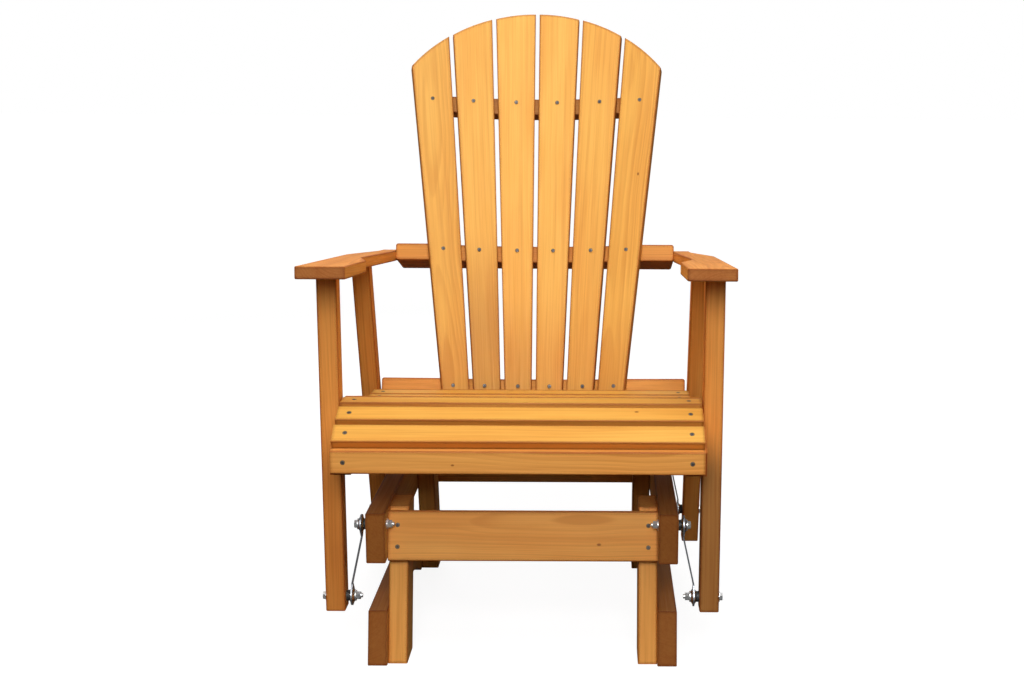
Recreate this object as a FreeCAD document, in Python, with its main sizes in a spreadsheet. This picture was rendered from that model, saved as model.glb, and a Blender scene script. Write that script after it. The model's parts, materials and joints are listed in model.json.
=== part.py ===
import FreeCAD, Part
import os
import re

import Sketcher

# Adirondack glider: a slatted seat with a fan back hangs by four cranked steel links
# from a splayed timber base.
# X is to the sitter's left (the viewer's right), Y towards the back, Z up, in millimetres.
# The origin is on the floor, under the middle of the chair's plan; sizes along Y are from the base's middle.

Vector = FreeCAD.Vector
Rotation = FreeCAD.Rotation

# Driving dimensions, one spreadsheet cell each
SIZES = {
    # from the base's middle back to the middle of the whole plan
    "plan_shift": 15.8,
    # timber stock
    "board_thick": 36,
    "slat_thick": 20,
    "edge_ease": 2.5,
    # base: splayed legs between a top rail and a floor runner on each side
    "leg_inner": 213,
    "leg_width": 76,
    "leg_splay": 13,
    "base_half": 294,
    "leg_top": 282,
    "rail_top": 287,
    "rail_height": 94,
    "rail_half": 291,
    "runner_half": 304,
    "runner_height": 98,
    "runner_arch": 50,
    "runner_foot": 100,
    "stretcher_foot": 186,
    "stretcher_height": 92,
    "joint_gap": 0.5,
    # swing links and their pivots
    "pivot_half": 266,
    "pivot_high": 260,
    "link_length": 138,
    "eye_radius": 18,
    "eye_wrap": 40,
    "link_neck": 9,
    "link_thick": 3,
    "link_bend": 23,
    "bolt_radius": 4,
    "bolt_clearance": 0.1,
    "bush_clearance": 0.05,
    "bush_radius": 8,
    "flange_radius": 15,
    "flange_face": 10,
    "flange_thick": 3.5,
    "side_play": 0.4,
    "spacer_thick": 5,
    "washer_thick": 2,
    "washer_radius": 10,
    "nut_thick": 8,
    "head_thick": 5.5,
    "hex_corner": 7.5,
    "bolt_tail": 3.5,
    # seat frame: posts, stringers and slats
    "post_inner": 326,
    "post_depth": 36,
    "front_post_foot": 98,
    "rear_post_foot": 46,
    "rear_post_lean": 17,
    "nose_front": 393,
    "nose_high": 432.5,
    "stringer_foot": 390,
    "stringer_heel": 350,
    "slat_half": 322,
    "slat_width": 41,
    "slat_pitch": 49,
    "apron_foot": 397,
    # back: six tapered slats, leaning back from the seat and set to a hollow on three rails
    "back_lean": 18,
    "back_foot_y": 148,
    "back_foot_z": 418,
    "back_length": 832,
    "slat_drop": 30,
    "crown_half": 300,
    "crown_rise": 179,
    "fan_pitch": 66.2,
    "fan_spread": 0.0365,
    "fan_gap": 9,
    "back_hollow": 30,
    "back_curl": 4.9,
    "rail_corner": 5,
    "low_rail_top": 28,
    "low_rail_height": 76,
    "low_rail_depth": 66,
    "low_rail_half": 321,
    "arm_rail_top": 317,
    "arm_rail_depth": 105,
    "arm_rail_half": 298,
    "batten_top": 646,
    "batten_depth": 42,
    "batten_half": 255,
    # arms: a broad paddle that narrows to a tongue at the back rail
    "arm_thick": 22,
    "arm_front": 419,
    "arm_high": 757,
    "arm_slope": 5,
    "arm_inner": 285,
    "arm_outer": 370,
    "arm_sweep": 180,
    "paddle_length": 220,
    "notch_length": 340,
    "notch_inner": 315,
    "tongue_outer": 335,
    "arm_shoulder": 490,
    "tongue_start": 675,
    "arm_length": 745,
}
# Slope of each facet that carries a seat slat, from the nose to the back, in degrees
FACETS = [33, 22, 1, -14, -16, -17, -15, -9, -2, -2, -15]
for number, slope in enumerate(FACETS, 1):
    SIZES[f"facet_{number:02d}"] = slope
BACK_SLATS = 6
SIDES = {"left": -1, "right": 1}
ENDS = {"front": -1, "rear": 1}

doc = FreeCAD.newDocument("adirondack_glider")
sheet = doc.addObject("Spreadsheet::Sheet", "dims")
for row, (alias, size) in enumerate(SIZES.items(), 1):
    sheet.set(f"A{row}", alias)
    sheet.set(f"B{row}", str(size))
    sheet.setAlias(f"B{row}", alias)
doc.recompute()

parts = []


def bound(formula):
    """Formula with every size name turned into its spreadsheet cell."""
    def cell(match):
        word = match.group()
        return "dims." + word if word in SIZES else word
    return re.sub(r"[a-z][a-z_0-9]*", cell, str(formula))


def value(formula):
    """Number that a formula of size names gives now."""
    return float(sheet.evalExpression(bound(formula)))


def bind(target, prop, formula):
    target.setExpression(prop, bound(formula))


def place(body, at, axis=(1, 0, 0), turn="0"):
    """Turn a body about an axis, then move it, all by formulas, to its place from the base's middle."""
    at = (at[0], f"{at[1]} - plan_shift", at[2])
    numbers = [value(item) for item in at]
    body.Placement = FreeCAD.Placement(Vector(*numbers), Rotation(Vector(*axis), value(turn)))
    for name, formula in zip("xyz", at):
        bind(body, f"Placement.Base.{name}", formula)
    if turn != "0":
        bind(body, "Placement.Rotation.Angle", turn)


def new_body(label):
    body = doc.addObject("PartDesign::Body", label)
    body.Label = label
    parts.append(body)
    return body


def new_sketch(body, role):
    sketch = body.newObject("Sketcher::SketchObject", body.Name + "_sketch")
    plane = next(item for item in body.Origin.OriginFeatures if item.Role == role)
    sketch.AttachmentSupport = [(plane, "")]
    sketch.MapMode = "FlatFace"
    return sketch


def pin_point(sketch, line, end, corner):
    """Fix one end of a line by its two formulas, measured from the sketch's origin."""
    for kind, formula in zip(("DistanceX", "DistanceY"), corner):
        index = sketch.addConstraint(Sketcher.Constraint(kind, -1, 1, line, end, value(formula)))
        bind(sketch, f"Constraints[{index}]", formula)


def draw_outline(sketch, corners, arcs=None):
    """Closed outline through corners; arcs maps an edge to its radius and its rise to the left."""
    arcs = arcs or {}
    points = [Vector(value(u), value(v), 0) for u, v in corners]
    first = sketch.GeometryCount
    count = len(points)
    ends = {}
    for edge in range(count):
        start, stop = points[edge], points[(edge + 1) % count]
        if edge in arcs:
            chord = stop - start
            left = Vector(-chord.y, chord.x, 0).normalize()
            top = (start + stop) / 2 + left * value(arcs[edge][1])
            sketch.addGeometry(Part.Arc(start, top, stop), False)
            # an arc in a sketch always runs anticlockwise, so one that rises to the left swaps ends
            ends[edge] = (2, 1)
        else:
            sketch.addGeometry(Part.LineSegment(start, stop), False)
            ends[edge] = (1, 2)
    for edge in range(count):
        after = (edge + 1) % count
        sketch.addConstraint(
            Sketcher.Constraint("Coincident", first + edge, ends[edge][1], first + after, ends[after][0])
        )
    for edge in range(count):
        pin_point(sketch, first + edge, ends[edge][0], corners[edge])
    for edge, bend in arcs.items():
        index = sketch.addConstraint(Sketcher.Constraint("Radius", first + edge, value(bend[0])))
        bind(sketch, f"Constraints[{index}]", bend[0])


def bow(half_chord, rise):
    """Radius and rise of an arc, for draw_outline, from half its chord and its rise."""
    return f"(({half_chord})^2 + ({rise})^2) / (2 * ({rise}))", rise


def draw_hole(sketch, centre, radius):
    """Round hole at a centre given by formulas."""
    point = Vector(value(centre[0]), value(centre[1]), 0)
    circle = sketch.addGeometry(Part.Circle(point, Vector(0, 0, 1), value(radius)), False)
    pin_point(sketch, circle, 3, centre)
    index = sketch.addConstraint(Sketcher.Constraint("Radius", circle, value(radius)))
    bind(sketch, f"Constraints[{index}]", radius)


def pad(body, sketch, thick):
    """Extrude a sketch to both sides of its plane."""
    feature = body.newObject("PartDesign::Pad", body.Name + "_pad")
    feature.Profile = sketch
    feature.SideType = "Symmetric"
    feature.Length = value(thick)
    bind(feature, "Length", thick)
    sketch.Visibility = False
    doc.recompute()
    return feature


def ease(body, feature, chosen, radius="edge_ease"):
    """Round the edges of a feature that the chosen test picks."""
    names = [f"Edge{i}" for i, edge in enumerate(feature.Shape.Edges, 1) if chosen(edge)]
    fillet = body.newObject("PartDesign::Fillet", body.Name + "_ease")
    fillet.Base = (feature, names)
    fillet.Radius = value(radius)
    bind(fillet, "Radius", radius)
    doc.recompute()
    return fillet


def runs_along(axis):
    """Test for straight edges along one axis, 0 for X, 1 for Y and 2 for Z."""
    def chosen(edge):
        if edge.Curve.TypeId != "Part::GeomLine":
            return False
        return abs(edge.Curve.Direction[axis]) > 0.999
    return chosen


def lies_across(axis):
    """Test for the outline edges, which lie in the two faces square to an axis."""
    def chosen(edge):
        spread = [vertex.Point[axis] for vertex in edge.Vertexes]
        return max(spread) - min(spread) < 1e-6
    return chosen


def bounds_side(edge):
    """Test for the straight edges round a side board's two faces, except those on the floor."""
    on_floor = all(abs(vertex.Point.z) < 1e-6 for vertex in edge.Vertexes)
    return edge.Curve.TypeId == "Part::GeomLine" and lies_across(0)(edge) and not on_floor


def side_board(label, corners, centre_x, arcs=None, holes=(), eased=True):
    """Board that stands in a side plane: an outline in Y and Z, extruded along X."""
    body = new_body(label)
    sketch = new_sketch(body, "YZ_Plane")
    draw_outline(sketch, corners, arcs)
    for centre, radius in holes:
        draw_hole(sketch, centre, radius)
    feature = pad(body, sketch, "board_thick")
    if eased:
        ease(body, feature, bounds_side)
    place(body, (centre_x, "0", "0"))


def cross_board(label, half_length, corners, at=("0", "0", "0"), axis=(1, 0, 0), turn="0"):
    """Board that runs across the chair: a cross-section in Y and Z, extruded along X."""
    body = new_body(label)
    sketch = new_sketch(body, "YZ_Plane")
    draw_outline(sketch, corners)
    feature = pad(body, sketch, f"2 * ({half_length})")
    ease(body, feature, runs_along(0))
    place(body, at, axis, turn)


def rectangle(low_u, high_u, low_v, high_v):
    return [(low_u, low_v), (high_u, low_v), (high_u, high_v), (low_u, high_v)]


# Base

LEG_RUN = "leg_top * tan(leg_splay)"
RAIL_MIDDLE = "leg_inner + 1.5 * board_thick"
LEG_MIDDLE = "leg_inner + 0.5 * board_thick"
BOLT_HOLE = "bolt_radius + bolt_clearance"


def make_base_side(side, sign):
    rail_holes = [((f"{end} * pivot_half", "pivot_high"), BOLT_HOLE) for end in ENDS.values()]
    outline = rectangle("-rail_half", "rail_half", "rail_top - rail_height", "rail_top")
    side_board(f"{side}_base_rail", outline, f"{sign} * ({RAIL_MIDDLE})", holes=rail_holes)
    runner_lean = "runner_height * tan(leg_splay)"
    outline = [
        ("-runner_half", "0"),
        ("runner_foot - runner_half", "0"),
        ("runner_half - runner_foot", "0"),
        ("runner_half", "0"),
        (f"runner_half - {runner_lean}", "runner_height"),
        (f"{runner_lean} - runner_half", "runner_height"),
    ]
    arch = bow("runner_half - runner_foot", "runner_arch")
    side_board(f"{side}_floor_runner", outline, f"{sign} * ({RAIL_MIDDLE})", arcs={1: arch})
    for end, way in ENDS.items():
        outline = [
            (f"{way} * base_half", "0"),
            (f"{way} * (base_half - leg_width)", "0"),
            (f"{way} * (base_half - leg_width - {LEG_RUN})", "leg_top"),
            (f"{way} * (base_half - {LEG_RUN})", "leg_top"),
        ]
        side_board(f"{end}_{side}_leg", outline, f"{sign} * ({LEG_MIDDLE})")


def make_stretchers():
    half_length = "leg_inner + board_thick - joint_gap"
    for end, way in ENDS.items():
        corners = rectangle("-slat_thick / 2", "slat_thick / 2", "0", "stretcher_height")
        face = "base_half - stretcher_foot * tan(leg_splay) + slat_thick / 2 * cos(leg_splay)"
        at = ("0", f"{way} * ({face})", "stretcher_foot + slat_thick / 2 * sin(leg_splay)")
        cross_board(f"{end}_stretcher", half_length, corners, at, (way, 0, 0), "leg_splay")


# Links, bushes and pivot bolts

RAIL_OUTER = "leg_inner + 2 * board_thick"
BUSH_LENGTH = "link_thick + 2 * flange_thick"
PIVOT_LOW = "pivot_high - link_length"
UPPER_BUSH = f"({RAIL_OUTER} + spacer_thick + side_play + ({BUSH_LENGTH}) / 2)"
LOWER_BUSH = f"(post_inner - spacer_thick - side_play - ({BUSH_LENGTH}) / 2)"


def cut_through(body, sketch, name):
    """Cut a sketch right through a body, to both sides, and check that it took something off."""
    before = body.Shape.Volume
    pocket = body.newObject("PartDesign::Pocket", f"{body.Name}_{name}")
    pocket.Profile = sketch
    pocket.Type = "ThroughAll"
    pocket.SideType = "Symmetric"
    sketch.Visibility = False
    doc.recompute()
    if pocket.Shape.Volume >= before - 1:
        raise RuntimeError(f"the {name} cut misses {body.Label}")
    return pocket


def waist_outline():
    """One side of the link's waist: round the upper eye, down the neck and round the lower eye."""
    along, across = "eye_radius * cos(eye_wrap)", "eye_radius * sin(eye_wrap)"
    slope = f"({along} - link_neck / 2) / tan(eye_wrap)"
    beside = "2 * eye_radius"
    return [
        ("eye_radius", "0"),
        (along, f"-{across}"),
        ("link_neck / 2", f"-{across} - {slope}"),
        ("link_neck / 2", f"{across} + {slope} - link_length"),
        (along, f"{across} - link_length"),
        ("eye_radius", "-link_length"),
        (beside, "-link_length"),
        (beside, "0"),
    ]


def make_link(label, sign, way):
    """Cranked steel bar with a round eye at each end and a narrow neck between them."""
    body = new_body(label)
    sketch = new_sketch(body, "XZ_Plane")
    half = "link_thick / 2"
    stations = [
        (UPPER_BUSH, "eye_radius"),
        (UPPER_BUSH, "-link_bend"),
        (LOWER_BUSH, "link_bend - link_length"),
        (LOWER_BUSH, "-link_length - eye_radius"),
    ]
    inner = [(f"{sign} * ({x} - {half})", z) for x, z in stations]
    outer = [(f"{sign} * ({x} + {half})", z) for x, z in reversed(stations)]
    draw_outline(sketch, inner + outer)
    pad(body, sketch, "2 * eye_radius")
    holes = new_sketch(body, "YZ_Plane")
    for depth in ("0", "-link_length"):
        draw_hole(holes, ("0", depth), "bush_radius")
    cut_through(body, holes, "eyes")
    side = new_sketch(body, "YZ_Plane")
    wrap = ("eye_radius", "eye_radius * (1 - cos(eye_wrap / 2))")
    draw_outline(side, waist_outline(), {0: wrap, 4: wrap})
    waist = cut_through(body, side, "waist")
    mirror = body.newObject("PartDesign::Mirrored", body.Name + "_waists")
    mirror.Originals = [waist]
    plane = next(item for item in body.Origin.OriginFeatures if item.Role == "XZ_Plane")
    mirror.MirrorPlane = (plane, [""])
    body.Tip = mirror
    doc.recompute()
    tips = [value("eye_radius"), value("-link_length - eye_radius")]

    def at_tip(edge):
        return runs_along(0)(edge) and min(abs(edge.Vertexes[0].Point.z - tip) for tip in tips) < 1e-4
    ease(body, mirror, at_tip, "eye_radius - bush_clearance")
    place(body, ("0", f"{way} * pivot_half", "pivot_high"))


def revolve(label, half_section, at, listed=True):
    """Turned piece on an axis along X: its half-section is in X and radius."""
    body = new_body(label)
    if not listed:
        parts.remove(body)
    sketch = new_sketch(body, "XY_Plane")
    draw_outline(sketch, half_section)
    feature = body.newObject("PartDesign::Revolution", body.Name + "_turn")
    feature.Profile = sketch
    feature.ReferenceAxis = (sketch, ["H_Axis"])
    feature.Angle = 360
    doc.recompute()
    place(body, at)
    return body


def group(label, members):
    """Identical pieces that share one node, each its own solid."""
    compound = doc.addObject("Part::Compound", label)
    compound.Label = label
    compound.Links = members
    parts.append(compound)
    return compound


def make_bush(label, at):
    """Bush pressed into a link's eye, with a coned flange on each side of the bar."""
    bore = "bolt_radius + bush_clearance"
    half = f"({BUSH_LENGTH}) / 2"
    bar = "link_thick / 2"
    section = [
        (f"-({half})", bore),
        (half, bore),
        (half, "flange_face"),
        (bar, "flange_radius"),
        (bar, "bush_radius"),
        (f"-({bar})", "bush_radius"),
        (f"-({bar})", "flange_radius"),
        (f"-({half})", "flange_face"),
    ]
    return revolve(label, section, at, listed=False)


def make_ring(label, thick, radius, at):
    section = rectangle(f"-({thick}) / 2", f"({thick}) / 2", BOLT_HOLE, radius)
    return revolve(label, section, at, listed=False)


def make_hex(label, thick, at, bore):
    """Hexagon along X; a nut has a bore, a bolt head has none."""
    prism = doc.addObject("Part::Prism", label + "_hex")
    prism.Polygon = 6
    bind(prism, "Circumradius", "hex_corner")
    bind(prism, "Height", thick)
    place(prism, (f"{at[0]} - ({thick}) / 2", at[1], at[2]), (0, 1, 0), "90")
    if not bore:
        return prism
    drill = doc.addObject("Part::Cylinder", label + "_drill")
    bind(drill, "Radius", BOLT_HOLE)
    bind(drill, "Height", thick)
    place(drill, (f"{at[0]} - ({thick}) / 2", at[1], at[2]), (0, 1, 0), "90")
    nut = doc.addObject("Part::Cut", label)
    nut.Base = prism
    nut.Tool = drill
    return nut


def make_bolt(label, head_middle, low_x, high_x, at):
    """Hexagon head and plain shank, fused."""
    head = make_hex(label + "_head", "head_thick", (head_middle, at[0], at[1]), False)
    shank = doc.addObject("Part::Cylinder", label + "_shank")
    bind(shank, "Radius", "bolt_radius")
    bind(shank, "Height", f"({high_x}) - ({low_x})")
    place(shank, (low_x, at[0], at[1]), (0, 1, 0), "90")
    bolt = doc.addObject("Part::Fuse", label)
    bolt.Base = head
    bolt.Tool = shank
    bolt.Refine = True
    return bolt


def stack(sign, start, thicknesses):
    """Middles of pieces that lie one after another along X, outwards from a start."""
    middles = []
    reach = start
    for thick in thicknesses:
        middles.append(f"{sign} * ({reach} + ({thick}) / 2)")
        reach = f"{reach} + ({thick})"
    return middles, reach


BUSH_SPACE = f"({BUSH_LENGTH} + 2 * side_play)"
# What each bolt holds, from the lock nut outwards to the head
BOLT_ORDER = {
    "upper": ["nut", "washer", "board", "spacer", "bush", "washer", "head"],
    "lower": ["nut", "washer", "bush", "spacer", "board", "washer", "head"],
}
BOLT_START = {
    "upper": "leg_inner + board_thick - washer_thick - nut_thick",
    "lower": f"post_inner - spacer_thick - {BUSH_SPACE} - washer_thick - nut_thick",
}
BOLT_HEIGHT = {"upper": "pivot_high", "lower": PIVOT_LOW}


def make_bolt_stack(name, level, sign, way):
    """One pivot bolt with all that it holds; each piece is listed by its kind."""
    at = (f"{way} * pivot_half", BOLT_HEIGHT[level])
    start, order = BOLT_START[level], BOLT_ORDER[level]
    thicknesses = [BUSH_SPACE if kind == "bush" else f"{kind}_thick" for kind in order]
    middles, reach = stack(sign, start, thicknesses)
    ends = [f"{sign} * ({start} - bolt_tail)", f"{sign} * ({reach})"]
    made = {}
    for slot, (kind, middle) in enumerate(zip(order, middles)):
        label = f"{name}_{kind}_{slot}"
        spot = (middle, *at)
        if kind in ("washer", "spacer"):
            piece = make_ring(label, f"{kind}_thick", "washer_radius", spot)
        elif kind == "nut":
            piece = make_hex(label, "nut_thick", spot, True)
        elif kind == "bush":
            piece = make_bush(label, spot)
        elif kind == "head":
            kind = "bolt"
            piece = make_bolt(label, middle, *ends[::sign], at)
        else:
            continue
        made.setdefault(kind, []).append(piece)
    return made


def make_pivots():
    """Upper bolts clamp to the rails and lower bolts to the posts; the links turn on both."""
    groups = {}
    for side, sign in SIDES.items():
        for end, way in ENDS.items():
            corner = f"{end}_{side}"
            bushes = []
            for level in BOLT_ORDER:
                made = make_bolt_stack(f"{corner}_{level}", level, sign, way)
                bushes += made.pop("bush")
                for kind, pieces in made.items():
                    groups.setdefault(f"{level}_pivot_{kind}s", []).extend(pieces)
            make_link(f"{corner}_link", sign, way)
            group(f"{corner}_link_bushes", bushes)
    for label, members in groups.items():
        group(label, members)


# Seat frame

UNDER_ARM = "arm_high - arm_thick / cos(arm_slope)"


def under_arm(y):
    """Height of the arm's underside at a place along Y."""
    return f"({UNDER_ARM} - ({y} + arm_front) * tan(arm_slope))"


def lean_top(edge):
    """Where a rear post's leaning edge, which passes the lower pivot's height at edge, meets the arm."""
    run = f"({edge} + arm_front + ({PIVOT_LOW}) * tan(rear_post_lean))"
    level = f"({UNDER_ARM} - {run} * tan(arm_slope))"
    return f"{level} / (1 - tan(rear_post_lean) * tan(arm_slope))"


def make_posts(side, sign):
    middle = f"{sign} * (post_inner + board_thick / 2)"
    front = "(-pivot_half - post_depth / 2)"
    back = "(post_depth / 2 - pivot_half)"
    corners = [
        (front, "front_post_foot"),
        (back, "front_post_foot"),
        (back, under_arm(back)),
        (front, under_arm(front)),
    ]
    side_board(f"{side}_front_post", corners, middle, holes=[(("-pivot_half", PIVOT_LOW), BOLT_HOLE)])
    corners = []
    for sign_y, level in ((-1, "foot"), (1, "foot"), (1, "top"), (-1, "top")):
        edge = f"(pivot_half + {sign_y} * post_depth / 2 / cos(rear_post_lean))"
        height = "rear_post_foot" if level == "foot" else lean_top(edge)
        corners.append((f"{edge} - ({height} - ({PIVOT_LOW})) * tan(rear_post_lean)", height))
    side_board(f"{side}_rear_post", corners, middle, holes=[(("pivot_half", PIVOT_LOW), BOLT_HOLE)])


def facet_point(count):
    """Corner of the stringer's top edge after a number of facets."""
    names = [f"facet_{number:02d}" for number in range(1, count + 1)]
    along = " + ".join(f"cos({name})" for name in names) or "0"
    rise = " + ".join(f"sin({name})" for name in names) or "0"
    return f"(slat_pitch * ({along}) - nose_front)", f"(nose_high + slat_pitch * ({rise}))"


def behind_back(height):
    """Place along Y of the back slats' rear face at a height."""
    lift = "back_foot_z - slat_thick * sin(back_lean)"
    return f"back_foot_y + slat_thick * cos(back_lean) + ({height} - ({lift})) * tan(back_lean)"


def make_stringer(side, sign):
    """Contoured side board under the slats; its heel carries the lower back rail."""
    corners = [("-nose_front", "stringer_foot")]
    heel_high = facet_point(len(FACETS))[1]
    corners += [(behind_back("stringer_heel"), "stringer_heel"), (behind_back(heel_high), heel_high)]
    corners += [facet_point(count) for count in range(len(FACETS), -1, -1)]
    side_board(f"{side}_stringer", corners, f"{sign} * (post_inner - board_thick / 2)", eased=False)


def make_seat_slats():
    section = rectangle("-slat_width / 2", "slat_width / 2", "0", "slat_thick")
    for number in range(1, len(FACETS) + 1):
        start, stop = facet_point(number - 1), facet_point(number)
        at = ("0", f"({start[0]} + {stop[0]}) / 2", f"({start[1]} + {stop[1]}) / 2")
        cross_board(f"seat_slat_{number:02d}", "slat_half", section, at, (1, 0, 0), f"facet_{number:02d}")
    apron = rectangle("-nose_front - slat_thick", "-nose_front", "apron_foot", "apron_foot + slat_width")
    cross_board("seat_apron", "slat_half", apron)


# Back

TILT_BACK = (-1, 0, 0)


def fan_line(step, height):
    """Place across the back of the middle of a gap between slats, at a height."""
    return f"{step} * (fan_pitch + fan_spread * ({height}))"


def slat_turn(number):
    """Turn of a back slat towards the sitter, and its set-back, by which neighbours' edges are level."""
    across = number - (BACK_SLATS - 1) / 2
    shifts = ["back_hollow"]
    for step in range(1, int(abs(across)) + 1):
        bend = f"(tan({step + 0.5} * back_curl) - tan({step - 0.5} * back_curl))"
        shifts.append(f"{fan_line(step, 'arm_rail_top')} * {bend}")
    return f"({across} * back_curl)", "(" + " + ".join(shifts) + ")"


def fan_edge(number, side, height):
    """Corner of a back slat in its own turned plane: its gap line, set in by half the gap."""
    step = number - BACK_SLATS // 2 + (side + 1) // 2
    return f"({fan_line(step, height)} - {side} * fan_gap / 2) / cos({slat_turn(number)[0]})", height


def make_back_slats():
    """Each slat is a taper, turned to the hollow; one arc is then cut across the tops of all six."""
    springing = "back_length - crown_rise"
    beyond, above = "(crown_half + slat_width)", "back_length + slat_width"
    crown_outline = [
        ("crown_half", springing),
        (beyond, springing),
        (beyond, above),
        (f"-{beyond}", above),
        (f"-{beyond}", springing),
        ("-crown_half", springing),
    ]
    for number in range(BACK_SLATS):
        body = new_body(f"back_slat_{number + 1}")
        sketch = new_sketch(body, "XZ_Plane")
        turn, set_back = slat_turn(number)
        sketch.AttachmentOffset = FreeCAD.Placement(
            Vector(0, 0, -value(set_back)), Rotation(Vector(0, -1, 0), value(turn))
        )
        bind(sketch, "AttachmentOffset.Base.z", f"-{set_back}")
        bind(sketch, "AttachmentOffset.Rotation.Angle", turn)
        corners = [
            fan_edge(number, -1, "-slat_drop"),
            fan_edge(number, 1, "-slat_drop"),
            fan_edge(number, 1, "back_length"),
            fan_edge(number, -1, "back_length"),
        ]
        draw_outline(sketch, corners)
        pad(body, sketch, "slat_thick")
        crown = new_sketch(body, "XZ_Plane")
        draw_outline(crown, crown_outline, {5: bow("crown_half", "crown_rise")})
        topped = cut_through(body, crown, "crown")
        ease(body, topped, lambda edge: edge.Length > value("crown_half"))
        half = "slat_thick / 2"
        at = ("0", f"back_foot_y + {half} * cos(back_lean)", f"back_foot_z - {half} * sin(back_lean)")
        place(body, at, TILT_BACK, "back_lean")


def behind_slat(number, across):
    """Depth of a back slat's rear face at a place across the back."""
    turn, set_back = slat_turn(number)
    return f"slat_thick / 2 * (1 + 1 / cos({turn})) + {set_back} - {across} * tan({turn})"


def rail_front(level, half_length, housed):
    """Front of a back rail from left to right: a flat for each slat, and plain ends if it is housed."""
    corners = []
    for step in range(-BACK_SLATS // 2, BACK_SLATS // 2 + 1):
        across = fan_line(step, level)
        if abs(step) == BACK_SLATS // 2 and not housed:
            across = half_length if step > 0 else f"-{half_length}"
        numbers = [step + BACK_SLATS // 2 - 1, step + BACK_SLATS // 2]
        depths = [behind_slat(number, across) for number in numbers if 0 <= number < BACK_SLATS]
        corners.append((across, depths[0] if len(depths) == 1 else f"max({depths[0]}; {depths[1]})"))
    if housed:
        corners = [(f"-{half_length}", "slat_thick"), *corners, (half_length, "slat_thick")]
    return corners


def make_back_rails():
    """Rails behind the slats: one at the seat, one between the arms, one near the top."""
    rails = {
        "lower_back_rail": ("low_rail_half", "low_rail_depth", "low_rail_top", "low_rail_height"),
        "arm_back_rail": ("arm_rail_half", "arm_rail_depth", "arm_rail_top", "board_thick"),
        "top_back_batten": ("batten_half", "batten_depth", "batten_top", "board_thick"),
    }
    for label, (half_length, depth, top, height) in rails.items():
        body = new_body(label)
        middle = f"({top} - {height} / 2)"
        housed = label != "top_back_batten"
        front = rail_front(middle, half_length, housed)
        if housed:
            rear = [(half_length, f"slat_thick + {depth}"), (f"-{half_length}", f"slat_thick + {depth}")]
        else:
            rear = [(across, f"{behind} + {depth}") for across, behind in reversed(front)]
        sketch = new_sketch(body, "XY_Plane")
        draw_outline(sketch, front + rear)
        feature = pad(body, sketch, height)
        rounded = ease(body, feature, runs_along(1), "rail_corner")
        ease(body, rounded, lambda edge: lies_across(2)(edge) and not runs_along(1)(edge))
        at = ("0", f"back_foot_y + {middle} * sin(back_lean)", f"back_foot_z + {middle} * cos(back_lean)")
        place(body, at, TILT_BACK, "back_lean")


# Arms


def make_arm(side, sign):
    """Broad paddle whose plan sweeps in to a tongue; the tongue lies flat on the end of the arm rail."""
    body = new_body(f"{side}_arm")
    sketch = new_sketch(body, "XY_Plane")
    plan = [
        ("arm_inner", "0"),
        ("arm_outer", "0"),
        ("arm_outer", "arm_shoulder"),
        ("tongue_outer", "tongue_start"),
        ("tongue_outer", "arm_length"),
        ("arm_rail_half", "arm_length"),
        ("arm_rail_half", "tongue_start"),
        ("notch_inner", "notch_length"),
        ("arm_inner", "paddle_length"),
    ]
    draw_outline(sketch, [(f"{sign} * {u}", v) for u, v in plan])
    feature = pad(body, sketch, "arm_thick")

    def at_bend(edge):
        return runs_along(2)(edge) and 1 < edge.Vertexes[0].Point.y < value("arm_length") - 1

    def at_corner(edge):
        return runs_along(2)(edge) and abs(edge.Vertexes[0].Point.y) < 1e-6
    swept = ease(body, feature, at_bend, "arm_sweep")
    ease(body, swept, lambda edge: lies_across(2)(edge) or at_corner(edge))
    half = "arm_thick / 2"
    at = ("0", f"-arm_front - {half} * sin(arm_slope)", f"arm_high - {half} * cos(arm_slope)")
    place(body, at, (-1, 0, 0), "arm_slope")


for side, sign in SIDES.items():
    make_base_side(side, sign)
make_stretchers()
make_pivots()
for side, sign in SIDES.items():
    make_posts(side, sign)
    make_stringer(side, sign)
    make_arm(side, sign)
make_seat_slats()
make_back_slats()
make_back_rails()
doc.recompute()

# Every object has to be sound before anything is written
for item in doc.Objects:
    if "Invalid" in item.State or "Error" in item.State:
        raise RuntimeError(f"{item.Label} failed: {item.State}")
for part in parts:
    if part.Shape.isNull() or not part.Shape.isValid():
        raise RuntimeError(f"{part.Label} has no valid shape")

os.makedirs("parts", exist_ok=True)
for part in parts:
    part.Shape.exportStep(os.path.join("parts", part.Label + ".step"))
print(len(parts), "pieces written")
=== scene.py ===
# %% [markdown]
# # A timber glider chair, dressed
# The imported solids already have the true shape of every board, link and bolt, so this lesson gives them
# what solids lack: stained timber with its grain, plated steel and the small wood screws that hold the
# boards. The frame is loaded first and is never moved.

# %% Load the frame
import json
import math

import bpy
import numpy as np
from mathutils import Matrix, Vector


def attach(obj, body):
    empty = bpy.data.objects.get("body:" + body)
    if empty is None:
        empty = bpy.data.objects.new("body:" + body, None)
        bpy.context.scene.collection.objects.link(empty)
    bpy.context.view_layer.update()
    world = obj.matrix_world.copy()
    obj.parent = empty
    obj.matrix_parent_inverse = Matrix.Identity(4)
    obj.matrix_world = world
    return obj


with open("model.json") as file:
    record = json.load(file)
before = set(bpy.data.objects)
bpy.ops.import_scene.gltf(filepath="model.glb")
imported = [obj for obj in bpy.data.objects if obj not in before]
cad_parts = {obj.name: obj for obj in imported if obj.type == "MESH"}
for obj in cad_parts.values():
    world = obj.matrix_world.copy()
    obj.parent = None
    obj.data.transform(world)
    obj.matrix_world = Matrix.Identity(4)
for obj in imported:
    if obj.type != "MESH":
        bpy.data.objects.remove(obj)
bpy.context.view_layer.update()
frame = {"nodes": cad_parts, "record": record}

nodes = frame["nodes"]

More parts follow.
